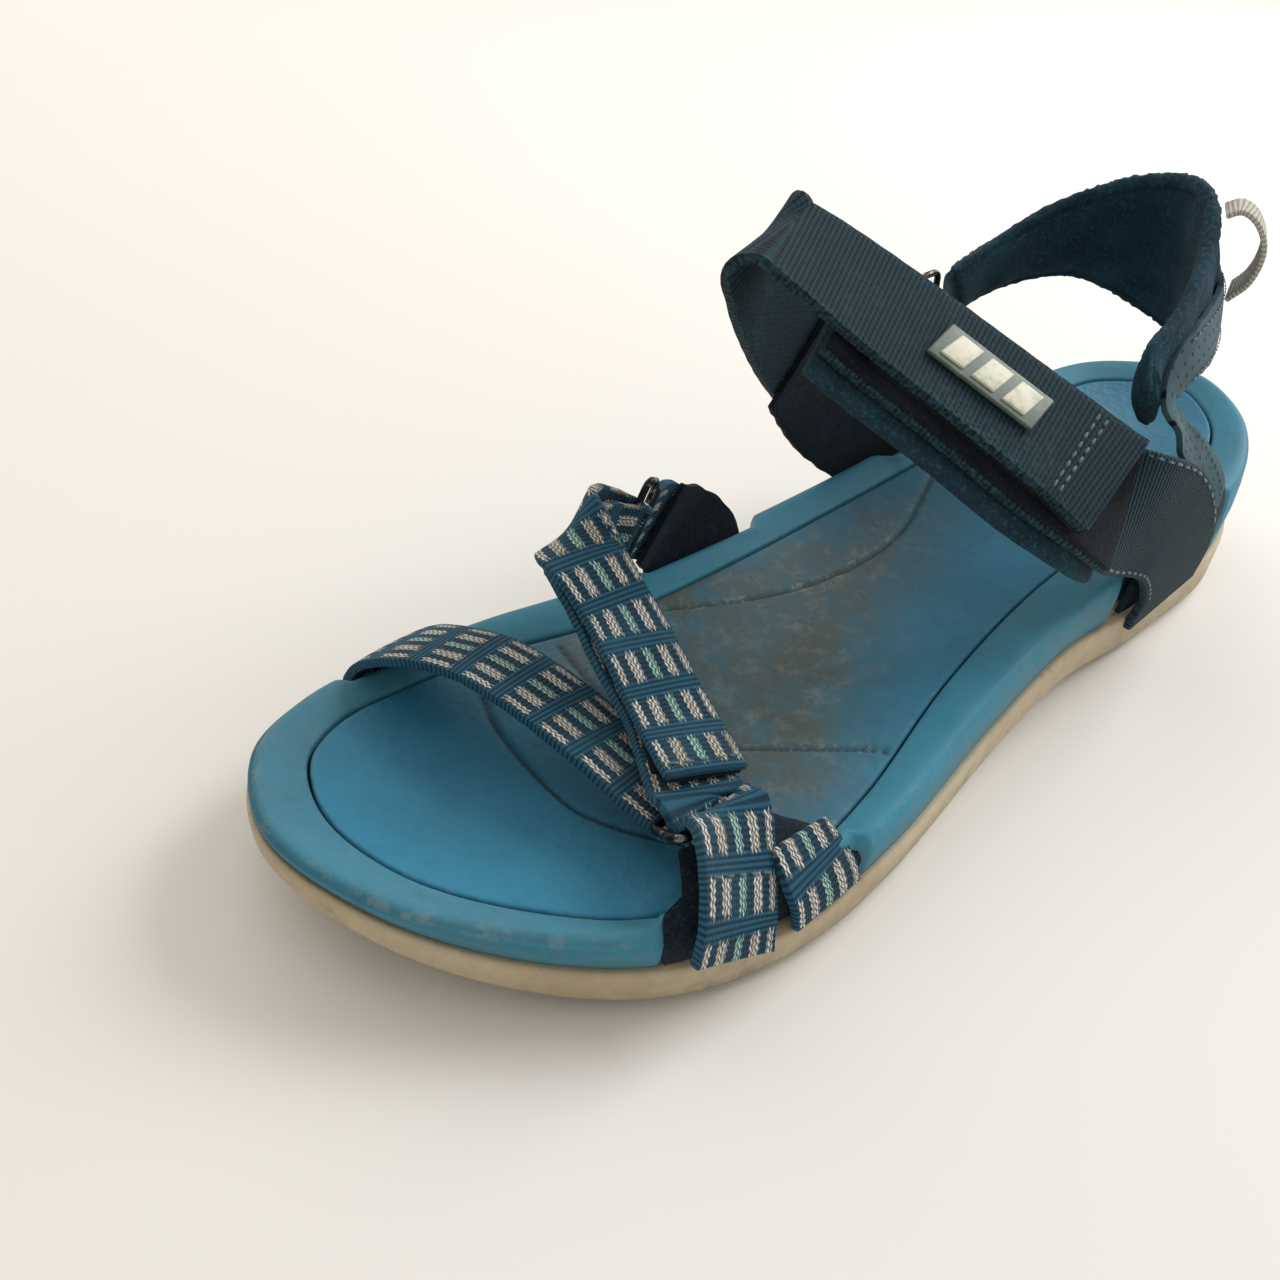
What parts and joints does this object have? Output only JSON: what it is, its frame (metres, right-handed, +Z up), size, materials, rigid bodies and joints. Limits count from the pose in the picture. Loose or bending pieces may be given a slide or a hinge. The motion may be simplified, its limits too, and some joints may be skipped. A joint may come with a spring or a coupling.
{
  "type": "strappy sport sandal",
  "caption": "Left-foot strappy sport sandal: contoured footbed, patterned toe strap, padded ankle strap with hook-and-loop tabs, and a cushioned heel collar with a pull loop.",
  "frame": {"origin": "on the ground under the middle of the sandal's bounding box", "axes": "+X to the outer side of the left foot, -Y to the toe, +Z up"},
  "size_m": [0.0948, 0.265, 0.0948],
  "materials": {
    "outsole_rubber": "matte",
    "midsole_foam": "matte",
    "footbed_foam": "matte",
    "nylon": "matte",
    "shock_foam": "matte",
    "patterned_webbing": "matte",
    "ankle_webbing": "matte",
    "lining_cloth": "matte",
    "fastener_cloth": "matte",
    "ring_metal": "satin",
    "badge_rubber": "satin",
    "nubuck": "matte",
    "collar_cloth": "matte",
    "loop_webbing": "matte"
  },
  "bodies": {
    "sole": {"outsole": "outsole_rubber", "midsole": "midsole_foam", "footbed": "footbed_foam", "arch_shank": "nylon", "heel_shock_pad": "shock_foam", "toe_strap": "patterned_webbing", "toe_loop_patch": "fastener_cloth", "front_anchor_web": "patterned_webbing", "rear_anchor_web": "patterned_webbing", "lateral_toe_lining": "lining_cloth", "medial_arch_web": "patterned_webbing", "medial_arch_lining": "lining_cloth", "instep_band": "ankle_webbing", "instep_band_pad": "lining_cloth", "ankle_loop_patch": "fastener_cloth", "lateral_ankle_lining": "lining_cloth", "ankle_strap": "ankle_webbing", "medial_ankle_gusset": "lining_cloth", "ankle_ring": "ring_metal", "ankle_ring_web": "ankle_webbing", "lateral_gusset": "nubuck"},
    "toe_tab": {"toe_strap_tab": "patterned_webbing", "toe_hook_patch": "fastener_cloth"},
    "ankle_tab": {"ankle_strap_tab": "ankle_webbing", "ankle_hook_patch": "fastener_cloth", "badge": "badge_rubber"},
    "lateral_ring": {"lateral_toe_ring": "ring_metal"},
    "medial_ring": {"medial_toe_ring": "ring_metal"},
    "collar": {"heel_collar": "collar_cloth", "lateral_overlay": "nubuck", "medial_overlay": "nubuck"},
    "loop": {"pull_loop": "loop_webbing"}
  },
  "joints": [
    {"name": "toe_tab_peel", "type": "hinge", "parent": "sole", "child": "toe_tab", "pos_m": [-0.0166, -0.0648, 0.0443], "axis": [0.3308, -0.9424, -0.0501], "range_deg": [0, 130]},
    {"name": "ankle_tab_peel", "type": "hinge", "parent": "sole", "child": "ankle_tab", "pos_m": [-0.0139, -0.01116, 0.0872], "axis": [0.301, -0.9432, -0.1405], "range_deg": [0, 130]},
    {"name": "lateral_ring_swivel", "type": "hinge", "parent": "sole", "child": "lateral_ring", "pos_m": [0.0313, -0.0764, 0.0246], "axis": [0, 0.9929, -0.1191], "range_deg": [-3, 3]},
    {"name": "medial_ring_swivel", "type": "hinge", "parent": "sole", "child": "medial_ring", "pos_m": [-0.0282, -0.0444, 0.0371], "axis": [0, 0.4711, 0.8821], "range_deg": [-3, 3]},
    {"name": "collar_tilt", "type": "hinge", "parent": "sole", "child": "collar", "pos_m": [0, 0.05, 0.062], "axis": [1, 0, 0], "range_deg": [-8, 10], "stiffness_Nm_per_rad": 0.6},
    {"name": "pull_loop_flop", "type": "hinge", "parent": "collar", "child": "loop", "pos_m": [0.0136, 0.0889, 0.0793], "axis": [-0.3, -0.189, 0.935], "range_deg": [-5, 12], "stiffness_Nm_per_rad": 0.05}
  ]
}
